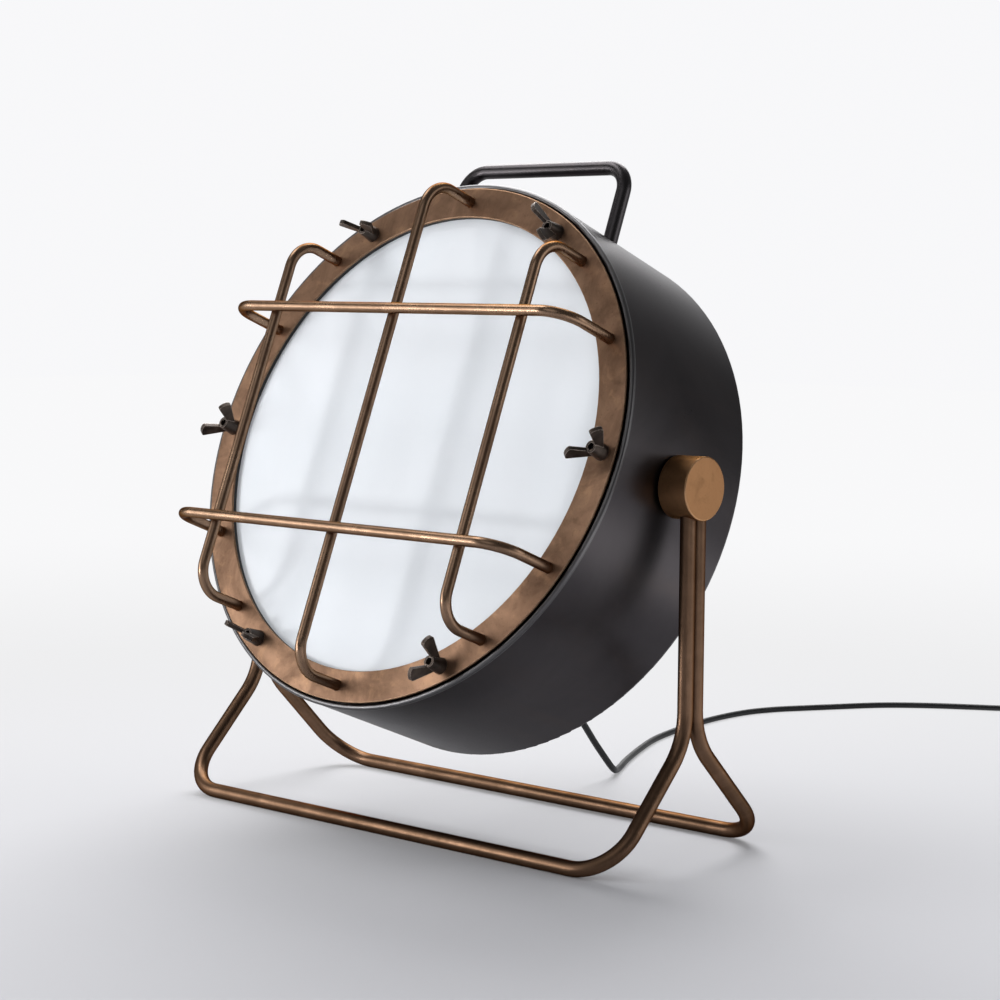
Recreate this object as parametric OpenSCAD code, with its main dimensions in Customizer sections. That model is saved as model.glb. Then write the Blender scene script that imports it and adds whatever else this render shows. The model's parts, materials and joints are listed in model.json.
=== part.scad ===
// Outdoor floor lamp: a drum floodlight that tilts in a yoke of two bent tubes.
// Frame: +X along the tilt axis, the lamp faces -Y, +Z up, floor at z = 0, tilt axis over the origin.
// The head is drawn upright in its own axes: x along the tilt axis, y up its face, z out of its front.

/* [Drum] */
// Outside diameter of the drum
drum_d = 511; // [480:1:540]
// Length of the drum from its lip to its back
drum_depth = 175; // [150:0.5:210]
// Distance of the lip's front edge ahead of the drum's origin
drum_front = 81.5; // [75:0.5:92]
// Height of the drum's axis over the tilt axis
drum_lift = 1.8; // [0:0.1:4]
// Distance of the drum's origin behind the tilt axis
drum_set_back = 0.3; // [0:0.1:2]
// Thickness of the drum's sheet
drum_wall = 2; // [1.5:0.1:2.6]
// Outer radius of the drum's back edge
back_edge_r = 5; // [4:0.5:12]
// Diameter of the bead that is rolled on the drum's front edge
bead_d = 5.4; // [4.5:0.1:6]
// How far the bead stands proud of the drum's side
bead_proud = 0.5; // [0.3:0.1:0.8]

/* [Front ring and lens] */
// Radial width of the front ring
ring_w = 29.2; // [25:0.1:34]
// Thickness of the front ring
ring_t = 2; // [1.6:0.1:2.4]
// Distance of the ring's edge inside the drum's side
ring_inset = 5.3; // [5:0.1:7]
// Distance of the ring's face ahead of the lip's front edge
ring_proud = 2.5; // [2.2:0.1:3.5]
// Chamfer on the ring's front edges
ring_chamfer = 0.5; // [0.3:0.1:0.8]
// How far the lens reaches under the ring
lens_overlap = 7; // [5:0.5:8]
// Thickness of the lens
lens_t = 5; // [3:0.5:8]
// Thickness of the rear lens gasket
gasket_t = 2; // [1:0.5:3]
// Thickness of the front lens gasket
gasket_front_t = 4; // [3:0.5:5]
// How far each gasket's inner edge stands back from the ring's inner edge
gasket_back = 0.4; // [0.2:0.1:1.5]
// Sheet thickness of the seat ring that the lens lies on
seat_t = 3; // [2:0.5:4]
// Length of the seat ring's band along the drum's wall
seat_band = 14; // [8:1:20]

/* [Guard] */
// Diameter of the guard rods
rod_d = 10; // [8:0.5:12]
// Bend radius of the guard rods' centre lines
rod_bend_r = 28; // [18:1:36]
// Distance of the upright rods' centre lines ahead of the ring's face
guard_reach = 57.5; // [48:0.5:70]
// Distance of the side rods from the middle
rod_side_x = 156.5; // [130:0.5:175]
// Distance of the upper cross rod above the middle
rod_upper_y = 103.3; // [80:0.1:130]
// Distance of the lower cross rod below the middle
rod_lower_y = 106; // [80:0.1:130]
// Gap left for the weld where upright and cross rods meet
weld_gap = 0.2; // [0.1:0.1:0.5]

/* [Wing nuts] */
// Diameter of the studs
stud_d = 6.6; // [6:0.1:7.2]
// Running clearance of a nut on its stud
nut_fit = 0.05; // [0.02:0.01:0.09]
// Diameter of a nut's base
nut_base_d = 15.5; // [14:0.5:18]
// Diameter of a nut's top
nut_top_d = 11; // [10:0.5:13]
// Height of a nut's body
nut_h = 16; // [13:0.5:19]
// Distance of a wing tip's middle from the nut's axis
wing_tip_r = 16; // [14:0.5:18]
// Height of a wing tip's middle over the ring
wing_tip_h = 28.5; // [25:0.5:32]
// Width of a wing at its tip
wing_tip_w = 12; // [9:0.5:14]
// Thickness of a wing
wing_t = 4; // [3:0.1:5]
// Depth of a stud's end below the top of its nut
stud_depth = 5; // [3:0.5:8]

/* [Tilt joint] */
// Height of the tilt axis over the floor
pivot_height = 332.5; // [325:0.5:380]
// How far the lamp looks up as it stands
rest_tilt = 21.5; // [10:0.5:30]
// Diameter of the hubs
hub_d = 56; // [50:0.5:64]
// Length of the hubs
hub_len = 30.5; // [29:0.5:38]
// Gap between the drum's side and a hub's inner face
hub_gap = 2; // [1.6:0.1:4]
// Chamfer on the hubs' edges
hub_chamfer = 0.8; // [0.4:0.1:1.5]
// Diameter of the boss that stands through the drum's side
boss_d = 44; // [36:1:46]
// How far the boss stands proud of the drum's side
boss_proud = 0.6; // [0.4:0.1:0.9]
// Diameter of the boss's inner flange
boss_flange_d = 54; // [50:1:60]
// Thickness of the boss's inner flange
boss_flange_t = 4; // [3:0.5:6]
// Diameter of the pivot bolts
bolt_d = 10; // [8:0.5:11]
// Width across the corners of the bolts' heads
bolt_head_d = 19; // [18:0.5:20]
// Height of the bolts' heads
bolt_head_t = 6.5; // [5:0.5:8]
// How far the bolts reach into the hubs
bolt_reach = 20; // [14:0.5:22]
// Running clearance of the bosses on the bolts
pivot_fit = 0.06; // [0.02:0.01:0.09]
// Thickness of the thrust washers inside the drum
thrust_t = 2; // [1.5:0.5:3]
// Face clearance beside each washer
washer_gap = 0.05; // [0.02:0.01:0.1]

/* [Stand] */
// Diameter of the stand's tubes
stand_d = 14; // [12:0.5:15]
// Wall of the stand's tubes
stand_wall = 2; // [1.5:0.1:3]
// Distance of the legs' centre lines from the hubs' inner faces
leg_inset = 18; // [17:0.5:19.5]
// Distance of the front floor tube ahead of the tilt axis
front_foot_y = 107; // [90:1:140]
// Distance of the rear floor tube behind the tilt axis
rear_foot_y = 111; // [90:1:140]
// Height at which the two tubes of a leg part, at the corner of their centre lines
split_h = 110; // [90:1:130]
// Bend radius where the two tubes of a leg part
split_bend_r = 65; // [45:1:80]
// Bend radius at the floor
floor_bend_r = 45; // [35:1:60]
// Metal left between the top of a leg and the bolt in its hub
leg_cover = 5; // [3:0.5:7]

/* [Handle] */
// Diameter of the handle's bar
handle_d = 14; // [12:0.5:16]
// Distance between the handle's legs, centre to centre
handle_w = 206; // [160:1:230]
// Height of the handle's bar over the top of the drum, to its centre line
handle_rise = 52; // [45:0.5:60]
// Bend radius of the handle
handle_bend_r = 25; // [18:0.5:30]
// Distance of the handle behind the drum's origin
handle_set_back = 4.3; // [0:0.1:10]
// How far the handle's legs stand through the drum's wall
handle_through = 3; // [2:0.5:6]

/* [Lamp] */
// Sheet thickness of the reflector
reflector_t = 1.5; // [1:0.1:2.5]
// Radius of the reflector's middle hole
reflector_hole_r = 38; // [32:1:44]
// Height of the reflector's middle hole over the drum's back
reflector_foot = 28; // [22:1:36]
// Diameter of the bulb's globe
bulb_d = 70; // [62:1:78]
// Thickness of the bulb's glass
glass_t = 1.2; // [0.8:0.1:2]
// Diameter of the bulb's screw cap
cap_d = 26.4; // [26:0.1:27]
// Diameter of the lamp holder
holder_d = 42; // [38:1:50]
// Length of the lamp holder
holder_len = 36; // [34:1:42]
// Gap between the bulb and the lens
bulb_clear = 8; // [5:0.5:12]
// Thickness of the foot plate of the holder's stand
plate_t = 3; // [2:0.5:4]
// Diameter of the foot plate of the holder's stand
plate_d = 76; // [70:1:90]
// Diameter of the pillar of the holder's stand
pillar_d = 22; // [18:1:28]
// Diameter of the small screws
screw_d = 4; // [3:0.5:4.5]

/* [Cord] */
// Diameter of the cord
cord_d = 6.8; // [6:0.1:7]
// Distance of the cable gland below the drum's axis
gland_y = 150; // [130:1:170]
// Diameter of the gland's thread
gland_d = 16; // [14:0.5:18]
// Width across the corners of the gland's hexagons
gland_hex_d = 27.7; // [24:0.1:30]
// Length of the tapered sleeve on the gland
sleeve_len = 32; // [24:1:45]
// Whole loops in the coil
coil_loops = 8; // [6:1:10]
// Layers in the coil
coil_layers = 4; // [2:2:4]
// Gap between turns of the coil
coil_gap = 0.6; // [0.5:0.1:1]
// Coil's diameter at the middle of its turns
coil_mid_d = 75; // [70:1:82]
// Thickness of the coil's tie
tie_t = 1.2; // [0.8:0.1:2]
// Width of the coil's tie
tie_w = 16; // [10:1:20]

/* [Plug] */
// Diameter of the plug's front
plug_d = 38; // [34:1:42]
// Length of the plug's body
plug_len = 46; // [40:1:55]
// Diameter of the plug's pins
pin_d = 4.8; // [4:0.1:5]
// Length of the plug's pins
pin_len = 19; // [17:0.5:20]
// Distance between the plug's pins
pin_gap = 19; // [17:0.5:20]

/* [Hidden] */
$fn = 96;
// Clearance of pieces that are pushed together and fixed
fit_gap = 0.1;
// Cuts run this far past the faces they open
cut = 1;
// How much a bar or tube is drawn in where it is bent, on its diameter
bend_draw = 0.04;
// How far a straight stretch runs into a bend
bend_lap = 0.05;

CHARCOAL = "#3a383b";
BRONZE = "#6f5238";
DARK_BRONZE = "#3d3029";
OPAL = "#eef2f6";
BLACK = "#161616";
STEEL = "#9a9a98";
WHITE = "#f2f0ea";
COPPER = "#a8603a";

// Drum and front ring
drum_r = drum_d / 2;
drum_back = drum_front - drum_depth;
back_inside = drum_back + drum_wall;
ring_front = drum_front + ring_proud;
ring_back = ring_front - ring_t;
ring_r = drum_r - ring_inset;
ring_in_r = ring_r - ring_w;
ring_mid_r = (ring_r + ring_in_r) / 2;
lens_r = ring_in_r + lens_overlap;
lens_front = ring_back - gasket_front_t;
lens_back = lens_front - lens_t;
seat_front = lens_back - gasket_t;
seat_back = seat_front - seat_t;

// Guard: where the rods stand on the ring
rod_side_y = sqrt(pow(ring_mid_r, 2) - pow(rod_side_x, 2));
rod_cross_ys = [rod_upper_y, -rod_lower_y];
rod_feet = [
    for (sy = [-1, 1]) [0, sy * ring_mid_r],
    for (sx = [-1, 1], sy = [-1, 1]) [sx * rod_side_x, sy * rod_side_y],
    for (sx = [-1, 1], y = rod_cross_ys) [sx * rod_cross_half(y), y]
];
upright_z = ring_front + guard_reach;
cross_z = upright_z + rod_d + weld_gap;

// Wing nuts: how far each one happens to be turned, counted round the ring from +x
stud_count = 6;
nut_turns = [40, 123, -2, 50, -17, 76];
stud_head_d = 13;
stud_head_t = 3;
stud_hole_gap = 0.4;
wing_root_x = stud_d / 2 + 0.6;
wing_root_low = nut_h - 13;
wing_root_high = nut_h - 0.8;
wing_tip_bulge = 2.8;
wing_tip_steps = 6;

// Tilt joint, along x from the middle
hub_in = drum_r + hub_gap;
boss_out = drum_r + boss_proud;
boss_seat = sqrt(pow(drum_r - drum_wall, 2) - pow(boss_flange_d / 2 + drum_lift, 2)) - fit_gap;
boss_in = boss_seat - boss_flange_t;
thrust_in = boss_in - washer_gap - thrust_t;
friction_d = boss_d - 2;
thrust_d = 2 * bolt_d + 1;
washer_bore_gap = 0.2;

// Stand
leg_x = hub_in + leg_inset;
leg_y = (stand_d + fit_gap) / 2;
leg_top = pivot_height - bolt_d / 2 - leg_cover;
foot_z = stand_d / 2;

// Handle
handle_x = handle_w / 2;
handle_top = drum_r + handle_rise;
handle_foot = sqrt(pow(drum_r - drum_wall, 2) - pow(handle_x + handle_d / 2, 2)) - handle_through;

// Reflector: a dish from its rim on the seat ring down to its middle hole
reflector_rim_r = ring_in_r - 2;
reflector_flange_r = ring_mid_r - stud_head_d / 2 - 0.5;
reflector_screw_r = (ring_in_r + reflector_flange_r) / 2;
reflector_low = back_inside + reflector_foot;
reflector_steps = 14;

// Lamp holder and bulb: the bulb's front sets the height of the holder's stand
holder_bore_gap = 0.3;
holder_bore_len = 30;
cap_len = 26;
bulb_neck = 14;
neck_lap = 12;
bulb_z = lens_back - bulb_clear - bulb_d / 2;
holder_top = bulb_z - bulb_d / 2 - bulb_neck;
holder_base = holder_top - holder_len;
plate_top = back_inside + plate_t;
plate_screw_r = (plate_d + holder_d) / 4;
screw_head_d = 1.8 * screw_d;
screw_head_t = 0.6 * screw_d;

// Terminal block and the leads inside the drum, in the head's own axes
block_size = [36, 20, 16];
block_at = [62, -96];
lead_d = 2.4;
lead_sides = 6;

// Gland, outwards from the drum's back
gland_flange_t = 5;
gland_nut_len = 9;
gland_dome_len = 8;
lock_nut_t = 5;
dome_end_r = 7;
sleeve_end_r = cord_d / 2 + 0.9;
gland_len = gland_flange_t + gland_nut_len + gland_dome_len + sleeve_len;

// Coil, wound clockwise seen from above, from the floor end to the plug end
coil_at = [140, 900];
coil_in_angle = 120;
coil_out_angle = 90;
coil_turns = coil_loops + (coil_in_angle - coil_out_angle) / 360;
layer_turns = coil_turns / coil_layers;
coil_pitch = cord_d + coil_gap;
coil_out_r = coil_mid_d / 2 + coil_pitch * layer_turns / 2;
coil_in_r = coil_out_r - coil_pitch * layer_turns;
coil_low = tie_t + 0.3 + cord_d / 2;
coil_high = coil_low + coil_pitch * (coil_layers - 1);
rings_per_loop = 24;
coil_sides = 6;
tie_angle = -30;
tie_gap = 0.5;

// Plug, lying beside the coil with its pins along +x
plug_at = [204, coil_at.y + coil_out_r, plug_d / 2];
plug_neck_r = cord_d / 2 + 2;
pin_root_d = pin_d - 0.8;
pin_root_len = 10;
pin_collar = 1;
clip_w = 8;
clip_t = 1.2;
clip_len = 14;

// Cord route in the room: down from the sleeve, on to the floor and away behind the lamp
cord_z = cord_d / 2;
cord_sides = 10;
ring_step = 17;
sleeve_end = head_point([0, -gland_y, drum_back - gland_len]);
sleeve_dir = head_point([0, -gland_y, drum_back - gland_len - 1]) - sleeve_end;
drop_route = [
    sleeve_end,
    sleeve_end + 20 * sleeve_dir,
    [-3, 131, 118],
    [-8, 165, 95],
    [-12, 197, 63],
    [-15, 219, 40.5],
    [-16, 237, 22],
    [-19, 253, 8.8],
    [-28, 270, 4],
    [-40, 292, cord_z]
];
floor_points = [
    [-40, 292, cord_z],
    [-57, 322, cord_z],
    [-86, 380, cord_z],
    [-111, 437, cord_z],
    [-127, 492, cord_z],
    [-139, 550, cord_z],
    [-145, 606, cord_z],
    [-143, 655, cord_z],
    [-131, 694, cord_z],
    [-113, 726, cord_z],
    [-90, 764, cord_z],
    [-66, 802, cord_z],
    [-43, 828, cord_z],
    [-10, 855, cord_z],
    [25, 878, cord_z],
    [54, 896, cord_z]
];
floor_dir = floor_points[1] - floor_points[0];
coil_start = coil_point(0) - cord_d * coil_dir(0);
floor_route = concat(floor_points, [coil_start - 14 * coil_dir(0), coil_start]);
coil_end = coil_point(coil_turns) + cord_d * coil_dir(coil_turns);
tail_route = [
    coil_end,
    coil_end + [14, 0, -1],
    [plug_at.x - 14, plug_at.y, plug_at.z + 1],
    plug_at
];

// Vectors and the head's place

function unit(v) = v / norm(v);
function smooth(t) = t * t * (3 - 2 * t);
function clamp01(t) = min(1, max(0, t));

// A point given in the head's own axes, in the room
function head_point(p) =
    let (up = p.y + drum_lift, out = p.z - drum_set_back)
    [
        p.x,
        up * sin(rest_tilt) - out * cos(rest_tilt),
        pivot_height + up * cos(rest_tilt) + out * sin(rest_tilt)
    ];

module in_head() {
    translate([0, 0, pivot_height])
        rotate([90 - rest_tilt, 0, 0])
            translate([0, drum_lift, -drum_set_back])
                children();
}

// Draws along +z what lies outwards along the tilt axis, on the right (1) or the left (-1)
module on_axis(side, x = 0) {
    translate([side * x, 0, pivot_height])
        rotate([0, side * 90, 0])
            children();
}

// Draws along +z what lies outwards from the drum's back at the gland
module at_gland() {
    in_head()
        translate([0, -gland_y, drum_back])
            rotate([180, 0, 0])
                children();
}

module at_plug() {
    translate(plug_at)
        rotate([0, 90, 0])
            children();
}

module at_studs() {
    for (i = [0 : stud_count - 1])
        rotate([0, 0, i * 360 / stud_count])
            translate([ring_mid_r, 0, 0])
                children();
}

module at_reflector_screws() {
    for (i = [0 : stud_count - 1])
        rotate([0, 0, (i + 0.5) * 360 / stud_count])
            translate([reflector_screw_r, 0, 0])
                children();
}

module at_plate_screws() {
    for (i = [0 : 2])
        rotate([0, 0, 90 + i * 120])
            translate([plate_screw_r, 0, 0])
                children();
}

// Bent bar and tube

module elbow(bend, d, angle = 90) {
    rotate_extrude(angle = angle)
        translate([bend, 0])
            circle(d = d - bend_draw);
}

// Two legs along z at x = half and -half from z0, bent over into a bar at z1
module staple(half, z0, z1, bend, d) {
    for (turn = [0, 180])
        rotate([0, 0, turn]) {
            translate([half, 0, z0])
                cylinder(d = d, h = z1 - bend - z0 + bend_lap);
            translate([half - bend, 0, z1 - bend])
                rotate([90, 0, 0])
                    elbow(bend, d);
        }
    translate([bend - half - bend_lap, 0, z1])
        rotate([0, 90, 0])
            cylinder(d = d, h = 2 * (half - bend + bend_lap));
}

// Swept tubes

// A point on the smooth curve through points, at segment i and share t
function curve_point(p, i, t) =
    let (a = p[max(0, i - 1)], b = p[i], c = p[i + 1], d = p[min(len(p) - 1, i + 2)])
    0.5 * (2 * b + t * (c - a) + t * t * (2 * a - 5 * b + 4 * c - d) + t * t * t * (3 * b - a - 3 * c + d));

// The curve's centre line, with points no further apart than step
function curve_line(p, step) = [
    for (i = [0 : len(p) - 2])
        let (n = max(1, ceil(norm(p[i + 1] - p[i]) / step)))
        for (k = [0 : n - 1])
            curve_point(p, i, k / n),
    p[len(p) - 1]
];

function line_dir(line, i) = unit(line[min(len(line) - 1, i + 1)] - line[max(0, i - 1)]);

// The ring of a tube's surface round point i of its centre line, whose ends are square to first and last
function tube_ring(line, i, r, sides, first, last) =
    let (
        t = i == 0 ? unit(first) : i == len(line) - 1 ? unit(last) : line_dir(line, i),
        across = unit(cross(abs(t.z) > 0.95 ? [1, 0, 0] : [0, 0, 1], t)),
        over = cross(t, across)
    )
    [for (k = [0 : sides - 1]) line[i] + r * (cos(360 * k / sides) * across + sin(360 * k / sides) * over)];

module tube(line, d, sides, first, last) {
    count = len(line);
    points = [for (i = [0 : count - 1]) each tube_ring(line, i, d / 2, sides, first, last)];
    walls = [
        for (i = [0 : count - 2], k = [0 : sides - 1])
            let (a = i * sides + k, b = i * sides + (k + 1) % sides)
            each [[a, a + sides, b], [b, a + sides, b + sides]]
    ];
    caps = [
        for (k = [1 : sides - 2])
            each [[0, k, k + 1], [(count - 1) * sides, (count - 1) * sides + k + 1, (count - 1) * sides + k]]
    ];
    polyhedron(points, concat(walls, caps));
}

// The coil: it spirals in and out layer by layer, and climbs in the half turn where it reverses

function coil_radius(t) =
    let (m = t % (2 * layer_turns))
    coil_out_r - coil_pitch * (m < layer_turns ? m : 2 * layer_turns - m);

function coil_height(t) =
    coil_low + coil_pitch * sum_of([
        for (j = [1 : coil_layers - 1]) smooth(clamp01((t - j * layer_turns + 0.25) / 0.5))
    ]);

function sum_of(v, i = 0) = i < len(v) ? v[i] + sum_of(v, i + 1) : 0;

function coil_point(t) =
    let (a = coil_in_angle - 360 * t)
    [coil_at.x + coil_radius(t) * cos(a), coil_at.y + coil_radius(t) * sin(a), coil_height(t)];

// The level direction in which the coil is entered and left
function coil_dir(t) =
    let (a = coil_in_angle - 360 * t)
    [sin(a), -cos(a), 0];

coil_steps = ceil(coil_turns * rings_per_loop);
coil_line = concat(
    [coil_start],
    [for (i = [0 : coil_steps]) coil_point(coil_turns * i / coil_steps)],
    [coil_end]
);

// Least gap of the coil to itself, between points that are more than half a loop apart
coil_self_gap = min([
    for (i = [0 : len(coil_line) - 1])
        for (j = [i + rings_per_loop / 2 : 1 : len(coil_line) - 1])
            norm(coil_line[i] - coil_line[j])
]) - cord_d;
echo(coil_self_gap = coil_self_gap);

function line_length(line) = sum_of([for (i = [1 : len(line) - 1]) norm(line[i] - line[i - 1])]);
echo(cord_length = line_length(curve_line(drop_route, 5)) + line_length(curve_line(floor_route, 5))
    + line_length(coil_line) + line_length(curve_line(tail_route, 5)));

// Head: drum, lens and ring

module drum_outline() {
    // side wall
    translate([drum_r - drum_wall, drum_back + back_edge_r])
        square([drum_wall, drum_depth - back_edge_r - bead_d / 2]);
    // back
    translate([0, drum_back])
        square([drum_r - back_edge_r, drum_wall]);
    // rounded back edge
    translate([drum_r - back_edge_r, drum_back + back_edge_r])
        intersection() {
            difference() {
                circle(r = back_edge_r);
                circle(r = back_edge_r - drum_wall);
            }
            translate([0, -back_edge_r])
                square(back_edge_r);
        }
    // rolled bead
    translate([drum_r + bead_proud - bead_d / 2, drum_front - bead_d / 2])
        circle(d = bead_d);
}

module drum_shell() {
    color(CHARCOAL)
        difference() {
            in_head()
                difference() {
                    rotate_extrude()
                        drum_outline();
                    for (sx = [-1, 1])
                        translate([sx * handle_x, handle_foot, -handle_set_back])
                            rotate([-90, 0, 0])
                                cylinder(d = handle_d + 2 * fit_gap, h = drum_r);
                    translate([0, -gland_y, drum_back - cut])
                        cylinder(d = gland_d + 2 * fit_gap, h = drum_wall + 2 * cut);
                    at_plate_screws()
                        translate([0, 0, drum_back - cut])
                            cylinder(d = screw_d + 2 * fit_gap, h = drum_wall + 2 * cut);
                }
            for (side = [-1, 1])
                on_axis(side, boss_seat)
                    cylinder(d = boss_d + 2 * fit_gap, h = hub_gap + drum_r - boss_seat);
        }
}

module seat_ring() {
    color(CHARCOAL)
        in_head()
            difference() {
                rotate_extrude() {
                    translate([ring_in_r, seat_back])
                        square([drum_r - drum_wall - fit_gap - ring_in_r, seat_t]);
                    translate([drum_r - drum_wall - fit_gap - seat_t, seat_front - seat_band])
                        square([seat_t, seat_band - seat_t]);
                }
                at_studs()
                    translate([0, 0, seat_back - cut])
                        cylinder(d = stud_d + 2 * fit_gap, h = seat_t + 2 * cut);
                at_reflector_screws()
                    translate([0, 0, seat_back - cut])
                        cylinder(d = screw_d + 2 * fit_gap, h = seat_t + 2 * cut);
            }
}

module ring_studs() {
    color(DARK_BRONZE)
        in_head()
            at_studs() {
                translate([0, 0, seat_back - stud_head_t])
                    cylinder(d = stud_head_d, h = stud_head_t);
                translate([0, 0, seat_back])
                    cylinder(d = stud_d, h = ring_front + nut_h - stud_depth - seat_back);
            }
}

module gasket(z, thickness) {
    color(BLACK)
        in_head()
            rotate_extrude()
                translate([ring_in_r + gasket_back, z])
                    square([lens_overlap - gasket_back, thickness]);
}

module lens_gasket_rear() {
    gasket(seat_front, gasket_t);
}

module lens_gasket_front() {
    gasket(lens_front, gasket_front_t);
}

module lens() {
    color(OPAL)
        in_head()
            translate([0, 0, lens_back])
                cylinder(r = lens_r, h = lens_t);
}

module front_ring() {
    color(BRONZE)
        in_head()
            difference() {
                rotate_extrude()
                    polygon([
                        [ring_in_r, ring_back],
                        [ring_r, ring_back],
                        [ring_r, ring_front - ring_chamfer],
                        [ring_r - ring_chamfer, ring_front],
                        [ring_in_r + ring_chamfer, ring_front],
                        [ring_in_r, ring_front - ring_chamfer]
                    ]);
                at_studs()
                    translate([0, 0, ring_back - cut])
                        cylinder(d = stud_d + 2 * stud_hole_gap, h = ring_t + 2 * cut);
                for (foot = rod_feet)
                    translate([foot.x, foot.y, ring_back - cut])
                        cylinder(d = rod_d + 2 * fit_gap, h = ring_t + 2 * cut);
            }
}

// Head: guard, nuts and handle

module upright_rod(x, half) {
    color(BRONZE)
        in_head()
            translate([x, 0, 0])
                rotate([0, 0, 90])
                    staple(half, ring_back, upright_z, rod_bend_r, rod_d);
}

// Half the span of a cross rod whose feet stand on the ring's middle line
function rod_cross_half(y) = sqrt(pow(ring_mid_r, 2) - pow(y, 2));

module cross_rod(y) {
    color(BRONZE)
        in_head()
            translate([0, y, 0])
                staple(rod_cross_half(y), ring_back, cross_z, rod_bend_r, rod_d);
}

module guard_rod_centre() {
    upright_rod(0, ring_mid_r);
}

module guard_rod_left() {
    upright_rod(-rod_side_x, rod_side_y);
}

module guard_rod_right() {
    upright_rod(rod_side_x, rod_side_y);
}

module guard_rod_upper() {
    cross_rod(rod_cross_ys[0]);
}

module guard_rod_lower() {
    cross_rod(rod_cross_ys[1]);
}

// One wing from the side: it rises outwards from the nut's body and widens to a rounded tip
module wing_outline() {
    root = [wing_root_x, (wing_root_low + wing_root_high) / 2];
    tip = [wing_tip_r, wing_tip_h];
    along = unit(tip - root);
    across = [along.y, -along.x] * wing_tip_w / 2;
    polygon([
        [wing_root_x, wing_root_low],
        for (k = [0 : wing_tip_steps])
            let (a = 180 * k / wing_tip_steps)
            tip + across * cos(a) + along * wing_tip_bulge * sin(a),
        [wing_root_x, wing_root_high]
    ]);
}

module wing_nut(i) {
    color(DARK_BRONZE)
        in_head()
            rotate([0, 0, i * 360 / stud_count])
                translate([ring_mid_r, 0, ring_front])
                    rotate([0, 0, nut_turns[i] - i * 360 / stud_count])
                        difference() {
                            union() {
                                cylinder(d1 = nut_base_d, d2 = nut_top_d, h = nut_h);
                                for (turn = [0, 180])
                                    rotate([90, 0, turn])
                                        linear_extrude(wing_t, center = true)
                                            wing_outline();
                            }
                            translate([0, 0, -cut])
                                cylinder(d = stud_d + 2 * nut_fit, h = nut_h + 2 * cut);
                        }
}

module handle() {
    color(CHARCOAL)
        in_head()
            translate([0, 0, -handle_set_back])
                rotate([-90, 0, 0])
                    staple(handle_x, handle_foot, handle_top, handle_bend_r, handle_d);
}

// Tilt joint

module pivot_boss(side) {
    color(STEEL)
        on_axis(side)
            difference() {
                union() {
                    translate([0, 0, boss_in])
                        cylinder(d = boss_flange_d, h = boss_flange_t);
                    translate([0, 0, boss_seat])
                        cylinder(d = boss_d, h = boss_out - boss_seat);
                }
                translate([0, 0, boss_in - cut])
                    cylinder(d = bolt_d + 2 * pivot_fit, h = boss_out - boss_in + 2 * cut);
            }
}

module pivot_bolt(side) {
    color(STEEL)
        on_axis(side) {
            translate([0, 0, thrust_in - bolt_head_t])
                cylinder(d = bolt_head_d, h = bolt_head_t, $fn = 6);
            translate([0, 0, thrust_in])
                cylinder(d = bolt_d, h = hub_in + bolt_reach - thrust_in);
        }
}

module washer(side, d, from, to) {
    on_axis(side, from)
        difference() {
            cylinder(d = d, h = to - from);
            translate([0, 0, -cut])
                cylinder(d = bolt_d + 2 * washer_bore_gap, h = to - from + 2 * cut);
        }
}

module friction_washer(side) {
    color(BLACK)
        washer(side, friction_d, boss_out + washer_gap, hub_in - washer_gap);
}

module thrust_washer(side) {
    color(STEEL)
        washer(side, thrust_d, thrust_in, thrust_in + thrust_t);
}

module pivot_hub(side) {
    hub_r = hub_d / 2;
    color(BRONZE)
        difference() {
            on_axis(side, hub_in)
                difference() {
                    rotate_extrude()
                        polygon([
                            [0, 0],
                            [hub_r - hub_chamfer, 0],
                            [hub_r, hub_chamfer],
                            [hub_r, hub_len - hub_chamfer],
                            [hub_r - hub_chamfer, hub_len],
                            [0, hub_len]
                        ]);
                    translate([0, 0, -cut])
                        cylinder(d = bolt_d + 2 * fit_gap, h = bolt_reach + fit_gap + cut);
                }
            for (sy = [-1, 1])
                translate([side * leg_x, sy * leg_y, pivot_height - hub_r - cut])
                    cylinder(d = stand_d + 2 * fit_gap, h = leg_top + fit_gap - pivot_height + hub_r + cut);
        }
}

// Stand

// One tube: a cradle on the floor whose ends turn up into the legs; over lengthens its two ends
module bent_tube(foot_y, d, over = 0) {
    slant = atan2(foot_y - leg_y, split_h - foot_z);
    slant_len = norm([foot_y - leg_y, split_h - foot_z]);
    split_tan = split_bend_r * tan(slant / 2);
    translate([0, -foot_y, foot_z])
        rotate([180 - slant, 0, 0])
            staple(leg_x, split_tan - slant_len - bend_lap, 0, floor_bend_r, d);
    for (sx = [-1, 1]) {
        translate([sx * leg_x, -leg_y - split_bend_r, split_h + split_tan])
            rotate([-90, 0, 90])
                elbow(split_bend_r, d, slant);
        translate([sx * leg_x, -leg_y, split_h + split_tan - bend_lap])
            cylinder(d = d, h = leg_top + over - split_h - split_tan + bend_lap);
    }
}

module stand_tube(foot_y) {
    color(BRONZE)
        difference() {
            bent_tube(foot_y, stand_d);
            bent_tube(foot_y, stand_d - 2 * stand_wall, cut);
        }
}

module stand_front_tube() {
    stand_tube(front_foot_y);
}

module stand_rear_tube() {
    rotate([0, 0, 180])
        stand_tube(rear_foot_y);
}

// Lamp inside the drum

function reflector_z(r) =
    reflector_low + (seat_back - reflector_low)
        * (r * r - reflector_hole_r * reflector_hole_r)
        / (reflector_rim_r * reflector_rim_r - reflector_hole_r * reflector_hole_r);

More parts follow.
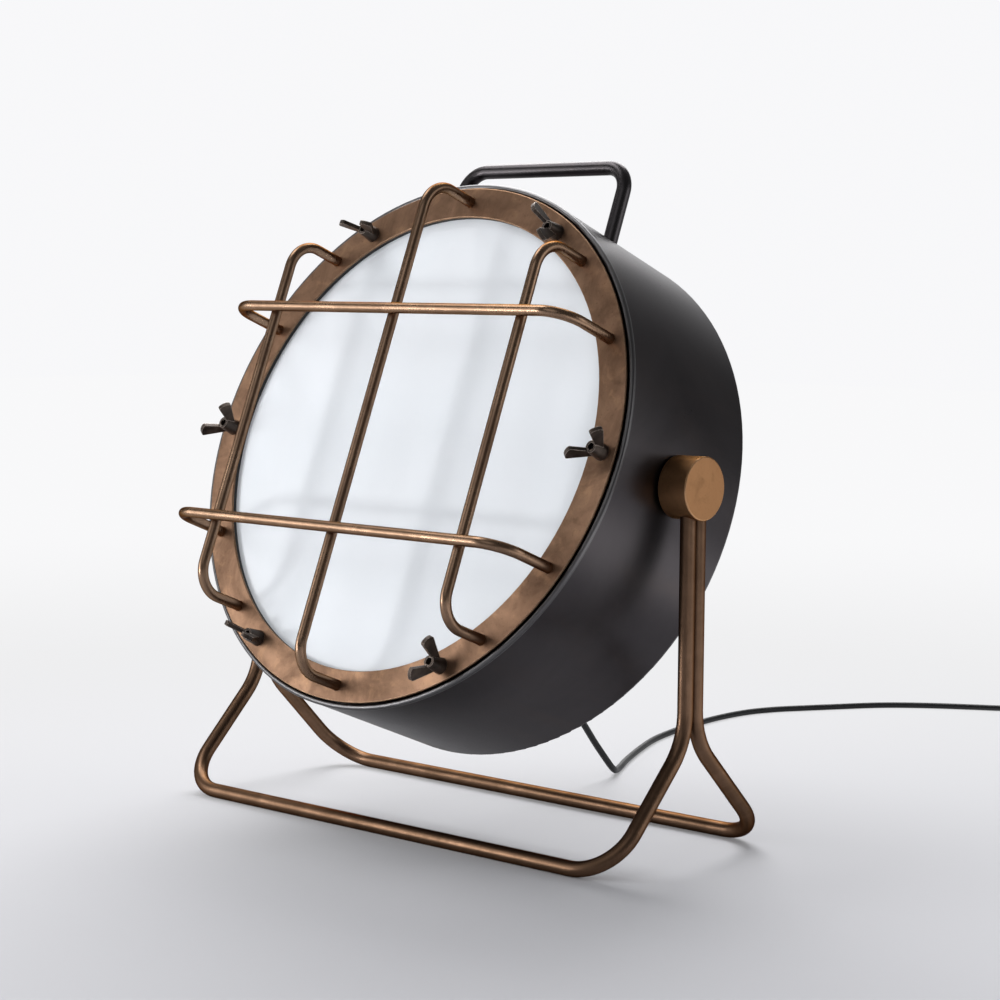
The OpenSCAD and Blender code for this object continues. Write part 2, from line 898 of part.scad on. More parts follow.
module reflector() {
    radii = [
        for (i = [0 : reflector_steps])
            reflector_hole_r + (reflector_rim_r - reflector_hole_r) * i / reflector_steps
    ];
    front = [for (r = radii) [r, reflector_z(r)]];
    behind = [for (i = [reflector_steps : -1 : 0]) [radii[i], reflector_z(radii[i]) - reflector_t]];
    color(WHITE)
        in_head()
            difference() {
                rotate_extrude()
                    polygon(concat(
                        front,
                        [
                            [reflector_flange_r, seat_back],
                            [reflector_flange_r, seat_back - reflector_t]
                        ],
                        behind
                    ));
                at_reflector_screws()
                    translate([0, 0, seat_back - reflector_t - cut])
                        cylinder(d = screw_d + 2 * fit_gap, h = reflector_t + 2 * cut);
            }
}

// A screw along +z: its head ends at z = 0 and its shank reaches to length
module pan_screw(length) {
    translate([0, 0, -screw_head_t])
        cylinder(d = screw_head_d, h = screw_head_t);
    cylinder(d = screw_d, h = length);
}

module reflector_screws() {
    color(STEEL)
        in_head()
            at_reflector_screws()
                translate([0, 0, seat_back - reflector_t])
                    pan_screw(reflector_t + seat_t);
}

// The holder's stand: a foot plate and a pillar
module holder_plate() {
    color(STEEL)
        in_head()
            difference() {
                union() {
                    translate([0, 0, back_inside])
                        cylinder(d = plate_d, h = plate_t);
                    translate([0, 0, plate_top])
                        cylinder(d = pillar_d, h = holder_base - plate_top);
                }
                at_plate_screws()
                    translate([0, 0, back_inside - cut])
                        cylinder(d = screw_d + 2 * fit_gap, h = plate_t + 2 * cut);
            }
}

module plate_screws() {
    color(STEEL)
        in_head()
            at_plate_screws()
                translate([0, 0, drum_back])
                    pan_screw(drum_wall + plate_t);
}

module lamp_holder() {
    color(WHITE)
        in_head()
            difference() {
                translate([0, 0, holder_base])
                    cylinder(d = holder_d, h = holder_len);
                translate([0, 0, holder_top - holder_bore_len])
                    cylinder(d = cap_d + 2 * holder_bore_gap, h = holder_bore_len + cut);
            }
}

module bulb_cap() {
    color(STEEL)
        in_head()
            translate([0, 0, holder_top - cap_len])
                cylinder(d = cap_d, h = cap_len);
}

// Half of the globe's outline, drawn in by inset and open downwards where it is drawn in
module globe_outline(inset) {
    polygon([
        [0, holder_top - 2 * inset],
        [cap_d / 2 - inset, holder_top - 2 * inset],
        [bulb_d / 4 - inset, bulb_z - bulb_d / 2 + neck_lap],
        [bulb_d / 4 - inset, bulb_z],
        [0, bulb_z]
    ]);
    translate([0, bulb_z])
        intersection() {
            circle(d = bulb_d - 2 * inset);
            translate([0, -bulb_d / 2])
                square([bulb_d / 2, bulb_d]);
        }
}

module bulb_globe() {
    color(WHITE)
        in_head()
            rotate_extrude()
                difference() {
                    globe_outline(0);
                    globe_outline(glass_t);
                }
}

module terminal_block() {
    color(WHITE)
        in_head()
            translate([block_at.x, block_at.y, back_inside]) {
                hole_step = block_size.x / 3;
                difference() {
                    translate([-block_size.x / 2, -block_size.y / 2, 0])
                        cube(block_size);
                    for (i = [-1 : 1], sy = [-1, 1])
                        translate([i * hole_step, sy * block_size.y / 4, block_size.z / 2])
                            cylinder(d = screw_d, h = block_size.z);
                }
            }
}

// The cord's end inside the drum, from the gland to the block
module inner_cord() {
    start_z = back_inside + lock_nut_t + cut;
    block_z = back_inside + block_size.z / 2;
    low_side = block_at.y - block_size.y / 2;
    route = [
        [0, -gland_y, start_z],
        [0, -gland_y, start_z + 12],
        [block_at.x * 0.55, (low_side - gland_y) / 2 - 8, block_z + 14],
        [block_at.x, low_side - 14, block_z],
        [block_at.x, low_side, block_z]
    ];
    color(BLACK)
        in_head()
            tube(curve_line(route, ring_step / 2), cord_d, cord_sides, [0, 0, 1], [0, 1, 0]);
}

// A lead from the block to the lamp holder, on the left (-1) or the right (1) of the pair
module holder_lead(side) {
    block_z = back_inside + block_size.z / 2;
    high_side = block_at.y + block_size.y / 2;
    step = side * block_size.x / 3;
    route = [
        [block_at.x + step, high_side, block_z],
        [block_at.x + step, high_side + 10, block_z],
        [reflector_hole_r - 6, -16 + side * 6, reflector_low - reflector_t - 10],
        [holder_d / 2 + 6, side * 5, holder_base + 8],
        [holder_d / 2, side * 5, holder_base + 8]
    ];
    color(COPPER)
        in_head()
            tube(curve_line(route, ring_step / 2), lead_d, lead_sides, [0, 1, 0], [-1, 0, 0]);
}

// Cable gland

module gland_body() {
    color(BLACK)
        at_gland() {
            cylinder(d = gland_hex_d, h = gland_flange_t, $fn = 6);
            translate([0, 0, -drum_wall - lock_nut_t - cut])
                cylinder(d = gland_d, h = drum_wall + lock_nut_t + cut);
            translate([0, 0, gland_flange_t])
                cylinder(d = gland_d, h = gland_nut_len);
        }
}

module gland_lock_nut() {
    color(BLACK)
        at_gland()
            translate([0, 0, -drum_wall - lock_nut_t])
                difference() {
                    cylinder(d = gland_hex_d, h = lock_nut_t, $fn = 6);
                    translate([0, 0, -cut])
                        cylinder(d = gland_d + 2 * fit_gap, h = lock_nut_t + 2 * cut);
                }
}

module gland_dome_nut() {
    color(BLACK)
        at_gland()
            translate([0, 0, gland_flange_t])
                difference() {
                    union() {
                        cylinder(d = gland_hex_d, h = gland_nut_len, $fn = 6);
                        translate([0, 0, gland_nut_len])
                            cylinder(r1 = gland_hex_d * 0.43, r2 = dome_end_r, h = gland_dome_len);
                    }
                    translate([0, 0, -cut])
                        cylinder(d = gland_d + 2 * fit_gap, h = gland_nut_len + fit_gap + cut);
                }
}

module cord_sleeve() {
    color(BLACK)
        at_gland()
            translate([0, 0, gland_len - sleeve_len])
                cylinder(r1 = dome_end_r - 0.8, r2 = sleeve_end_r, h = sleeve_len);
}

// Cord and plug

module cord_drop() {
    color(BLACK)
        tube(curve_line(drop_route, ring_step), cord_d, cord_sides, sleeve_dir, floor_dir);
}

module cord_floor() {
    color(BLACK)
        tube(curve_line(floor_route, ring_step), cord_d, cord_sides, floor_dir, coil_dir(0));
}

module cord_coil() {
    color(BLACK)
        tube(coil_line, cord_d, coil_sides, coil_dir(0), coil_dir(coil_turns));
}

module cord_tail() {
    color(BLACK)
        tube(curve_line(tail_route, ring_step), cord_d, cord_sides, coil_dir(coil_turns), [1, 0, 0]);
}

// A band round the coil's bundle of turns
module cord_tie() {
    low = coil_in_r - cord_d / 2 - tie_gap - tie_t;
    wide = coil_out_r - coil_in_r + cord_d + 2 * (tie_gap + tie_t);
    high = coil_high + cord_d / 2 + tie_gap + tie_t;
    color(BLACK)
        translate([coil_at.x, coil_at.y, 0])
            rotate([90, 0, tie_angle])
                translate([low, 0, -tie_w / 2])
                    linear_extrude(tie_w)
                        difference() {
                            square([wide, high]);
                            translate([tie_t, tie_t])
                                square([wide - 2 * tie_t, high - 2 * tie_t]);
                        }
}

module plug_body() {
    plug_r = plug_d / 2;
    color(BLACK)
        at_plug()
            difference() {
                rotate_extrude()
                    polygon([
                        [0, 0],
                        [plug_neck_r, 0],
                        [plug_neck_r + 2, plug_len * 0.26],
                        [plug_r * 0.62, plug_len * 0.34],
                        [plug_r * 0.74, plug_len * 0.62],
                        [plug_r, plug_len * 0.78],
                        [plug_r, plug_len - 1],
                        [plug_r - 1, plug_len],
                        [0, plug_len]
                    ]);
                for (sy = [-1, 1])
                    translate([0, sy * pin_gap / 2, plug_len - pin_root_len - fit_gap])
                        cylinder(d = pin_root_d + 2 * fit_gap, h = pin_root_len + fit_gap + cut);
                for (turn = [0, 180])
                    rotate([0, 0, turn])
                        translate([plug_r - clip_t, -clip_w / 2, plug_len - clip_len])
                            translate([-fit_gap, -fit_gap, -fit_gap])
                                cube([2 * clip_t, clip_w + 2 * fit_gap, clip_len + cut]);
            }
}

module plug_pins() {
    color(STEEL)
        at_plug()
            for (sy = [-1, 1])
                translate([0, sy * pin_gap / 2, plug_len]) {
                    translate([0, 0, -pin_root_len])
                        cylinder(d = pin_root_d, h = pin_root_len + pin_collar);
                    translate([0, 0, pin_collar])
                        cylinder(d = pin_d, h = pin_len - pin_collar);
                }
}

module plug_earth_clips() {
    color(STEEL)
        at_plug()
            for (turn = [0, 180])
                rotate([0, 0, turn])
                    translate([plug_d / 2 - clip_t, -clip_w / 2, plug_len - clip_len])
                        cube([clip_t * 0.8, clip_w, clip_len - 1]);
}

drum_shell();
seat_ring();
ring_studs();
lens_gasket_rear();
lens();
lens_gasket_front();
front_ring();
guard_rod_centre();
guard_rod_left();
guard_rod_right();
guard_rod_upper();
guard_rod_lower();
for (i = [0 : stud_count - 1])
    wing_nut(i);
handle();
pivot_boss(-1);  // pivot_boss_left
pivot_boss(1);  // pivot_boss_right
reflector();
reflector_screws();
holder_plate();
plate_screws();
lamp_holder();
bulb_cap();
bulb_globe();
terminal_block();
inner_cord();
holder_lead(-1);  // holder_lead_left
holder_lead(1);  // holder_lead_right
gland_body();
gland_lock_nut();
gland_dome_nut();
cord_sleeve();
pivot_hub(-1);  // pivot_hub_left
pivot_hub(1);  // pivot_hub_right
pivot_bolt(-1);  // pivot_bolt_left
pivot_bolt(1);  // pivot_bolt_right
friction_washer(-1);  // friction_washer_left
friction_washer(1);  // friction_washer_right
thrust_washer(-1);  // thrust_washer_left
thrust_washer(1);  // thrust_washer_right
stand_front_tube();
stand_rear_tube();
cord_drop();
cord_floor();
cord_coil();
cord_tail();
cord_tie();
plug_body();
plug_pins();
plug_earth_clips();
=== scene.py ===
"""An outdoor floor lamp: a drum floodlight that tilts in a bent-tube stand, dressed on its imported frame."""
import json
import math

import bpy
from mathutils import Matrix, Vector


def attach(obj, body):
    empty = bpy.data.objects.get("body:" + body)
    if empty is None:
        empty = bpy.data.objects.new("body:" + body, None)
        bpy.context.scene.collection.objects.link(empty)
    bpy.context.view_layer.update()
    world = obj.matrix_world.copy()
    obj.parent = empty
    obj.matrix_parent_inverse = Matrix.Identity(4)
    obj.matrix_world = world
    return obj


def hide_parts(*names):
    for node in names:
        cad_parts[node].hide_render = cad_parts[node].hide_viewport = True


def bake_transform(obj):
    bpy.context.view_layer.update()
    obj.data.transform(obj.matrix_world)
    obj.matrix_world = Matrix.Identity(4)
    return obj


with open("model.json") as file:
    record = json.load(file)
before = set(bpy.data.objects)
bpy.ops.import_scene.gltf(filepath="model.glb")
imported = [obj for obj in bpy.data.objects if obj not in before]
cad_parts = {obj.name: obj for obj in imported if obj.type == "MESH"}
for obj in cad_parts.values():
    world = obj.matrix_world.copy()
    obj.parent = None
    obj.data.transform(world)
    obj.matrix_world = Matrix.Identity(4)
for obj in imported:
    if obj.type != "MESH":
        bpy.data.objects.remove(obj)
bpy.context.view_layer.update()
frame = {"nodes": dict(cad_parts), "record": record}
nodes = frame["nodes"]
scene = bpy.context.scene

# Pieces are drawn in millimetres, and MM brings their points to metres
MM = 0.001

# Camera at the photograph's viewing angle
CAMERA_AT = Vector((1.5868, -1.6996, 0.5071))
CAMERA_YAW = math.radians(-43.2)
CAMERA_PITCH = math.radians(-4.71)
CAMERA_ROLL = 0.00777
CAMERA_SENSOR = 36
CAMERA_LENS = 88.77
CAMERA_SHIFT = (0.0451, -0.0121)


def make_camera():
    flat = math.cos(CAMERA_PITCH)
    forward = Vector((math.sin(CAMERA_YAW) * flat, math.cos(CAMERA_YAW) * flat, math.sin(CAMERA_PITCH)))
    level = Vector((math.cos(CAMERA_YAW), -math.sin(CAMERA_YAW), 0))
    above = level.cross(forward)
    c, s = math.cos(CAMERA_ROLL), math.sin(CAMERA_ROLL)
    right = c * level + s * above
    up = c * above - s * level
    data = bpy.data.cameras.new("camera")
    data.sensor_width = CAMERA_SENSOR
    data.lens = CAMERA_LENS
    data.shift_x, data.shift_y = CAMERA_SHIFT
    camera = bpy.data.objects.new("camera", data)
    turn = Matrix((right, up, -forward)).transposed().to_4x4()
    camera.matrix_world = Matrix.Translation(CAMERA_AT) @ turn
    scene.collection.objects.link(camera)
    scene.camera = camera


make_camera()


# Meshes made from rings of points
def add_mesh(name, points, faces, smooth=True):
    mesh = bpy.data.meshes.new(name)
    mesh.from_pydata([tuple(p) for p in points], [], faces)
    if smooth:
        mesh.polygons.foreach_set("use_smooth", [True] * len(mesh.polygons))
    mesh.update()
    made = bpy.data.objects.new(name, mesh)
    scene.collection.objects.link(made)
    return made


def ring_faces(rings, sides, capped=True):
    faces = []
    for i in range(rings - 1):
        for k in range(sides):
            a, b = i * sides + k, i * sides + (k + 1) % sides
            faces.append((a, b, b + sides, a + sides))
    if capped:
        faces.append(tuple(reversed(range(sides))))
        faces.append(tuple(range((rings - 1) * sides, rings * sides)))
    return faces


def curve_line(points, step):
    """Points of the smooth curve through the given ones, no further apart than step."""
    points = [Vector(p) for p in points]
    last = len(points) - 1
    line = []
    for i in range(last):
        a, b, c, d = points[max(0, i - 1)], points[i], points[i + 1], points[min(last, i + 2)]
        count = max(1, math.ceil((c - b).length / step))
        for k in range(count):
            t = k / count
            line.append(0.5 * (2 * b + t * (c - a) + t * t * (2 * a - 5 * b + 4 * c - d)
                               + t * t * t * (3 * b - a - 3 * c + d)))
    line.append(points[last])
    return line


def swept_tube(name, line, radius, sides):
    """A round tube along line, whose cross-section turns as little as it can."""
    last = len(line) - 1
    ways = [(line[min(last, i + 1)] - line[max(0, i - 1)]).normalized() for i in range(last + 1)]
    across = ways[0].cross(Vector((0, 0, 1))).normalized()
    points = []
    for p, way in zip(line, ways):
        across = (across - way * across.dot(way)).normalized()
        over = way.cross(across)
        for k in range(sides):
            a = math.tau * k / sides
            points.append(p + radius * (math.cos(a) * across + math.sin(a) * over))
    return add_mesh(name, points, ring_faces(len(line), sides))


def turned(name, start, way, profile, sides, cut=None):
    """A round piece along way: profile gives its distance along and its radius, and cut may trim a point."""
    across = way.cross(Vector((0, 1, 0))).normalized()
    over = way.cross(across).normalized()
    points = []
    for along, radius in profile:
        for k in range(sides):
            a = math.tau * k / sides
            u, v = radius * math.cos(a), radius * math.sin(a)
            if cut:
                u, v = cut(along, u, v)
            points.append((start + along * way + u * across + v * over) * MM)
    return add_mesh(name, points, ring_faces(len(profile), sides))


POINTS_PER_RIB = 10


def ribs(start, end, r_start, r_end, count, depth):
    """A profile from start to end with count rounded ribs, whose crests go from r_start to r_end."""
    steps = POINTS_PER_RIB * count
    line = []
    for i in range(steps + 1):
        t = i / steps
        groove = depth * (0.5 - 0.5 * math.cos(math.tau * t * count)) ** 2
        line.append((start + t * (end - start), r_start + t * (r_end - r_start) - groove))
    return line


def curved_profile(pairs, step):
    """A profile along the smooth curve through the given pairs of distance and radius."""
    return [(p.x, p.y) for p in curve_line([(*pair, 0) for pair in pairs], step)]


# The head's own directions at rest
TILT = math.radians(21.5)
AXIS_Z = 332.5
HEAD_LIFT = 1.8
HEAD_SET_BACK = 0.3


def head_point(x, v, w):
    """A point of the head, x to the side, v up its face and w out of its front, in the room's frame."""
    v, w = v + HEAD_LIFT, w - HEAD_SET_BACK
    return Vector((
        x,
        v * math.sin(TILT) - w * math.cos(TILT),
        AXIS_Z + v * math.cos(TILT) + w * math.sin(TILT),
    ))


def head_way(x, v, w):
    return head_point(x, v, w) - head_point(0, 0, 0)


# Cord: down from the sleeve on to the floor, away behind the lamp, into a tied coil, and out to the plug
CORD_D = 6.8
CORD_SIDES = 16
FLOOR_Z = CORD_D / 2
RING_STEP = 4.0

SLEEVE_END = head_point(0, -150, -147.5)
SLEEVE_DIR = head_way(0, 0, -1)
STRAIGHT_OUT = 20

COIL_AT = (140, 900)
COIL_IN_ANGLE = math.radians(120)
COIL_LOOPS = 8
COIL_OVERRUN = 30 / 360
COIL_LAYERS = 4
COIL_TURNS = COIL_LOOPS + COIL_OVERRUN
LAYER_TURNS = COIL_TURNS / COIL_LAYERS
CLIMB_TURNS = 0.5
COIL_PITCH = 7.4
COIL_MID_R = 75 / 2
COIL_OUT_R = COIL_MID_R + COIL_PITCH * LAYER_TURNS / 2
COIL_LOW = 4.9
COIL_LEAD = 14
RINGS_PER_LOOP = 48

PLUG_AT = Vector((204, COIL_AT[1] + COIL_OUT_R, 19))
PLUG_LEAD = Vector((-14, 0, 1))

CORD_DROP = [
    (-3, 131, 118), (-8, 165, 95), (-12, 197, 63), (-15, 219, 40.5), (-16, 237, 22), (-19, 253, 8.8),
    (-28, 270, 4),
]
CORD_ON_FLOOR = [
    (-40, 292), (-57, 322), (-86, 380), (-111, 437), (-127, 492), (-139, 550), (-145, 606), (-143, 655),
    (-131, 694), (-113, 726), (-90, 764), (-66, 802), (-43, 828), (-10, 855), (25, 878), (54, 896),
]


def smooth_step(t):
    t = min(1, max(0, t))
    return t * t * (3 - 2 * t)


def coil_point(t):
    """The coil's middle line after t turns: in and out in layers that lie on each other."""
    m = t % (2 * LAYER_TURNS)
    radius = COIL_OUT_R - COIL_PITCH * min(m, 2 * LAYER_TURNS - m)
    climbs = sum(
        smooth_step((t - j * LAYER_TURNS + CLIMB_TURNS / 2) / CLIMB_TURNS) for j in range(1, COIL_LAYERS))
    a = COIL_IN_ANGLE - math.tau * t
    return Vector((
        COIL_AT[0] + radius * math.cos(a),
        COIL_AT[1] + radius * math.sin(a),
        COIL_LOW + COIL_PITCH * climbs,
    ))


def coil_way(t):
    a = COIL_IN_ANGLE - math.tau * t
    return Vector((math.sin(a), -math.cos(a), 0))


def cord_line():
    floor = [(x, y, FLOOR_Z) for x, y in CORD_ON_FLOOR]
    drop = [SLEEVE_END, SLEEVE_END + STRAIGHT_OUT * SLEEVE_DIR] + CORD_DROP + floor[:1]
    coil_start = coil_point(0) - CORD_D * coil_way(0)
    coil_end = coil_point(COIL_TURNS) + CORD_D * coil_way(COIL_TURNS)
    floor += [coil_start - COIL_LEAD * coil_way(0), coil_start]
    steps = math.ceil(COIL_TURNS * RINGS_PER_LOOP)
    coil = [coil_point(COIL_TURNS * i / steps) for i in range(steps + 1)]
    tail = [coil_end, coil_end + Vector((COIL_LEAD, 0, -1)), PLUG_AT + PLUG_LEAD, PLUG_AT]
    line = curve_line(drop, RING_STEP)[:-1] + curve_line(floor, RING_STEP)
    line += coil + curve_line(tail, RING_STEP)
    return [Vector((p.x, p.y, max(p.z, FLOOR_Z))) * MM for p in line]


# Sleeve on the gland: a soft tapered end with grooves that let the real sleeve bend, drawn here as one rigid
# piece on the head
SLEEVE_LENGTH = 32
SLEEVE_SIDES = 32
sleeve_profile = (
    [(0, 6.0), (0.2, 6.2), (4.0, 6.0)]
    + ribs(5.0, 29.0, r_start=5.9, r_end=4.5, count=6, depth=0.9)
    + [(31.4, 4.3), (SLEEVE_LENGTH, 3.8)]
)
sleeve_start = SLEEVE_END - SLEEVE_LENGTH * SLEEVE_DIR
sleeve = turned("ribbed_sleeve", sleeve_start, SLEEVE_DIR, sleeve_profile, SLEEVE_SIDES)
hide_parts("cord_sleeve")
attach(sleeve, "head")

# Plug: a moulded body with a grooved neck, finger flutes round its waist and a rim in front
PLUG_SIDES = 120
PLUG_WAIST = [
    (12.2, 7.4), (14.2, 9.4), (16.5, 11.6), (20, 12.5), (25, 13.0), (29, 14.1), (31.7, 15.8),
]
PLUG_FRONT = [(31.8, 15.9), (33.6, 17.4), (35.6, 18.6), (37.4, 19), (39, 19)]
PLUG_RIM = [
    (40.2, 19), (40.4, 18.6), (41.2, 18.6), (41.4, 19), (44.6, 19), (45.4, 18.7), (45.8, 18.3), (46, 17.6),
    (46, 14), (45.6, 13.6), (45.6, 2),
]
WAIST_STEP = 0.8
FRONT_STEP = 0.6
FLUTES = 10
FLUTE_DEPTH = 0.9
FLUTE_FROM = 16
FLUTE_TO = 34
CLIP_SEAT = 17.6
CLIP_FROM = 31.8
CLIP_HALF = 4.1


def plug_cut(along, u, v):
    """Cuts the finger flutes, and the flat seats of the two side contacts."""
    radius = math.hypot(u, v)
    if FLUTE_FROM < along < FLUTE_TO:
        deep = FLUTE_DEPTH * math.sin(math.pi * (along - FLUTE_FROM) / (FLUTE_TO - FLUTE_FROM))
        keep = 1 - deep * max(0, math.cos(FLUTES * math.atan2(v, u))) / radius
        u, v = u * keep, v * keep
    if along >= CLIP_FROM and abs(v) < CLIP_HALF:
        u = math.copysign(min(abs(u), CLIP_SEAT), u)
    return u, v


plug_profile = (
    [(0, 5.0), (0.5, 5.4)]
    + ribs(1.2, 11.4, r_start=5.6, r_end=7.2, count=4, depth=0.9)
    + curved_profile(PLUG_WAIST, WAIST_STEP)
    + curved_profile(PLUG_FRONT, FRONT_STEP)
    + PLUG_RIM
)
plug = turned("moulded_plug", PLUG_AT, Vector((1, 0, 0)), plug_profile, PLUG_SIDES, plug_cut)
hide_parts("plug_body")
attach(plug, "stand")

# Strap round the coil's bundle, with its loose end lapped over the top and down the outside
STRAP_T = 1.2
STRAP_W = 16
STRAP_AT = math.radians(-30)
STRAP_CORNER = 4.5
CORNER_STEP = 10
EASE_T = 0.3
EASE_W = 0.4
STRAP_GAP = 0.5
STRAP_OFF = CORD_D / 2 + STRAP_GAP + STRAP_T / 2
STRAP_LOW = COIL_OUT_R - COIL_PITCH * LAYER_TURNS - STRAP_OFF
STRAP_HIGH = COIL_OUT_R + STRAP_OFF
STRAP_TOP = COIL_LOW + COIL_PITCH * (COIL_LAYERS - 1) + STRAP_OFF
LAP_DOWN = (17, 10)
LAP_TURN = 9
LAP_OVER = ((2, 1), (-3, 0.9))
LAP_THINNER = 0.05
LAP_NARROWER = 0.3


def strap_corner(q, z, first):
    """A quarter turn about (q, z) in the strap's plane, from the angle first on."""
    angles = [math.radians(first + a) for a in range(0, 91, CORNER_STEP)]
    return [(q + STRAP_CORNER * math.cos(a), z + STRAP_CORNER * math.sin(a)) for a in angles]


def strap_mesh(name, line, closed, half_t, half_w):
    """A flat band with eased edges along a line of (radius, height) points in the strap's plane."""
    in_t, in_w = half_t - EASE_T, half_w - EASE_W
    section = [
        (-half_t, -in_w), (-in_t, -half_w), (in_t, -half_w), (half_t, -in_w),
        (half_t, in_w), (in_t, half_w), (-in_t, half_w), (-half_t, in_w),
    ]
    last = len(line) - 1
    out = Vector((math.cos(STRAP_AT), math.sin(STRAP_AT), 0))
    side = Vector((-math.sin(STRAP_AT), math.cos(STRAP_AT), 0))
    points = []
    for i, (q, z) in enumerate(line):
        a = line[i - 1] if closed or i else line[0]
        b = line[(i + 1) % len(line)] if closed or i < last else line[last]
        way = Vector((b[0] - a[0], b[1] - a[1])).normalized()
        for t, w in section:
            p = out * (q + t * way.y) + side * w
            points.append(Vector((COIL_AT[0] + p.x, COIL_AT[1] + p.y, z - t * way.x)) * MM)
    faces = ring_faces(len(line), len(section), capped=not closed)
    if closed:
        n, first = len(section), last * len(section)
        faces += [(first + k, first + (k + 1) % n, (k + 1) % n, k) for k in range(n)]
    return add_mesh(name, points, faces, smooth=False)


inner, outer = STRAP_LOW + STRAP_CORNER, STRAP_HIGH - STRAP_CORNER
low_z, top_z = STRAP_T / 2 + STRAP_CORNER, STRAP_TOP - STRAP_CORNER
loop = strap_corner(outer, low_z, 270) + strap_corner(outer, top_z, 0)
loop += strap_corner(inner, top_z, 90) + strap_corner(inner, low_z, 180)
tie = strap_mesh("coil_strap", loop, True, STRAP_T / 2, STRAP_W / 2)

lap = [(STRAP_HIGH + STRAP_T, STRAP_TOP - down) for down in LAP_DOWN]
for i, (q, z) in enumerate(strap_corner(outer, top_z, 0)):
    a = math.radians(LAP_TURN * i)
    lap.append((q + STRAP_T * math.cos(a), z + STRAP_T * math.sin(a)))
lap += [((inner + outer) / 2 + past, STRAP_TOP + STRAP_T * lift) for past, lift in LAP_OVER]
tie_end = strap_mesh("coil_strap_end", lap, False, STRAP_T / 2 - LAP_THINNER, STRAP_W / 2 - LAP_NARROWER)
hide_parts("cord_tie")
for piece in (tie, tie_end):
    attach(piece, "stand")

cord_path = cord_line()
cord = swept_tube("mains_cord", cord_path, CORD_D / 2 * MM, CORD_SIDES)
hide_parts("cord_drop", "cord_floor", "cord_coil", "cord_tail")
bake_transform(cord)

# Node trees
FLAT_DOT = 0.995
SHARP_DOT = 0.8
BEVEL_SAMPLES = 4


class Nodes:
    """A node tree, with short names for the nodes that the finishes and the studio share."""

    def __init__(self, tree, coordinates):
        self.tree = tree
        self.tree.nodes.clear()
        self.at = self.node("ShaderNodeTexCoord").outputs[coordinates]

    def node(self, kind, **values):
        made = self.tree.nodes.new(kind)
        for name, value in values.items():
            setattr(made, name, value)
        return made

    def put(self, socket, value):
        if isinstance(value, bpy.types.NodeSocket):
            self.tree.links.new(value, socket)
        elif value is not None:
            socket.default_value = value

    def fill(self, made, **values):
        for name, value in values.items():
            self.put(made.inputs[name.replace("_", " ")], value)
        return made

    def span(self, value, low, high, to_low=0.0, to_high=1.0, curve="SMOOTHSTEP"):
        made = self.node("ShaderNodeMapRange", interpolation_type=curve)
        self.fill(made, Value=value, From_Min=low, From_Max=high, To_Min=to_low, To_Max=to_high)
        return made.outputs["Result"]

    def maths(self, operation, a, b, kind="ShaderNodeMath"):
        made = self.node(kind, operation=operation)
        self.put(made.inputs[0], a)
        self.put(made.inputs[1], b)
        return made.outputs["Value"]

    def times(self, a, b):
        return self.maths("MULTIPLY", a, b)

    def plus(self, a, b):
        return self.maths("ADD", a, b)

    def most(self, a, b):
        return self.maths("MAXIMUM", a, b)

    def along(self, way):
        return self.maths("DOT_PRODUCT", self.at, way, "ShaderNodeVectorMath")

    def away(self, point):
        return self.maths("DISTANCE", self.at, point, "ShaderNodeVectorMath")

    def mixed(self, share, first, second):
        made = self.node("ShaderNodeMixShader")
        for socket, value in zip(made.inputs, (share, first, second)):
            self.put(socket, value)
        return made.outputs[0]


class Finish(Nodes):
    """A material with one principled shader, and the textures that the finishes share."""

    def __init__(self, name):
        self.material = bpy.data.materials.new(name)
        self.material.use_nodes = True
        super().__init__(self.material.node_tree, "Object")
        self.shader = self.node("ShaderNodeBsdfPrincipled")
        self.out = self.node("ShaderNodeOutputMaterial")
        self.put(self.out.inputs["Surface"], self.shader.outputs[0])

    def dress(self, **values):
        self.fill(self.shader, **values)
        return self.material

    def stretched(self, scale):
        return self.fill(self.node("ShaderNodeMapping"), Vector=self.at, Scale=scale).outputs[0]

    def noise(self, scale, detail=4.0, roughness=0.55, distortion=0.0, at=None):
        made = self.node("ShaderNodeTexNoise")
        self.fill(made, Vector=at or self.at, Scale=scale, Detail=detail)
        self.fill(made, Roughness=roughness, Distortion=distortion)
        return made.outputs["Fac"]

    def blend(self, share, a, b):
        made = self.node("ShaderNodeMix", data_type="RGBA")
        self.put(made.inputs["Factor"], share)
        colours = [s for s in made.inputs if s.type == "RGBA"]
        for socket, value in zip(colours, (a, b)):
            self.put(socket, value if isinstance(value, bpy.types.NodeSocket) else (*value, 1))
        return [s for s in made.outputs if s.type == "RGBA"][0]

    def edges(self, radius):
        """A value from 0 on a flat face to 1 at a sharp edge, within radius of it, and the eased normal."""
        rounded = self.fill(self.node("ShaderNodeBevel", samples=BEVEL_SAMPLES), Radius=radius).outputs[0]
        plain = self.node("ShaderNodeNewGeometry").outputs["Normal"]
        alike = self.maths("DOT_PRODUCT", rounded, plain, "ShaderNodeVectorMath")
        return self.span(alike, FLAT_DOT, SHARP_DOT), rounded

    def bump(self, height, strength, depth, normal=None):
        made = self.node("ShaderNodeBump")
        return self.fill(made, Strength=strength, Distance=depth, Height=height, Normal=normal).outputs[0]


